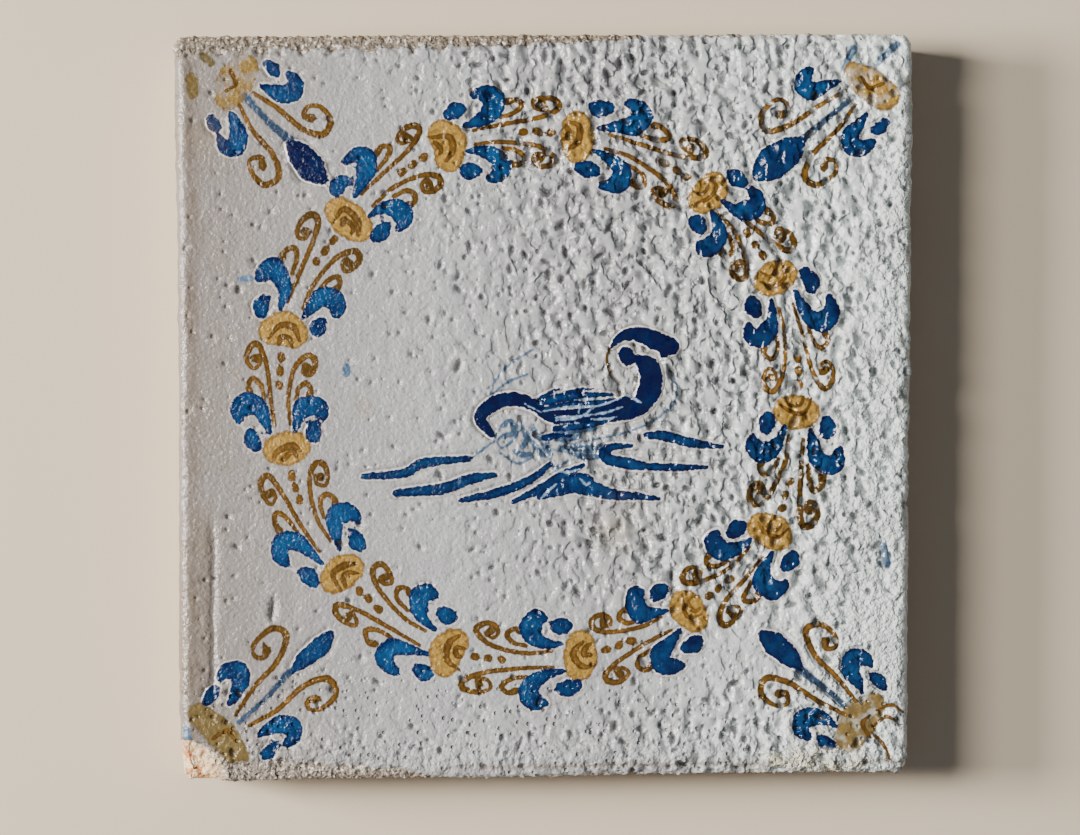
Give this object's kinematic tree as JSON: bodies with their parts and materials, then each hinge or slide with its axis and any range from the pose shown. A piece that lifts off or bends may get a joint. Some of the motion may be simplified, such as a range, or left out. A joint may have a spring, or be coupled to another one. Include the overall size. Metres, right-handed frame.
{
  "type": "decorative wall tile",
  "caption": "Square hand-painted tin-glazed earthenware wall tile with a flower wreath, corner sprigs and a swimming water bird, worn and chipped at its edges.",
  "frame": {"origin": "middle of the tile's flat back", "axes": "+Z out of the back, up through the painted face; +X to the right of the painting; +Y to its top"},
  "size_m": [0.1404, 0.1422, 0.0161],
  "materials": {
    "tin_glaze": "gloss"
  },
  "bodies": {
    "root": {"painted_tile": "tin_glaze"}
  },
  "joints": []
}
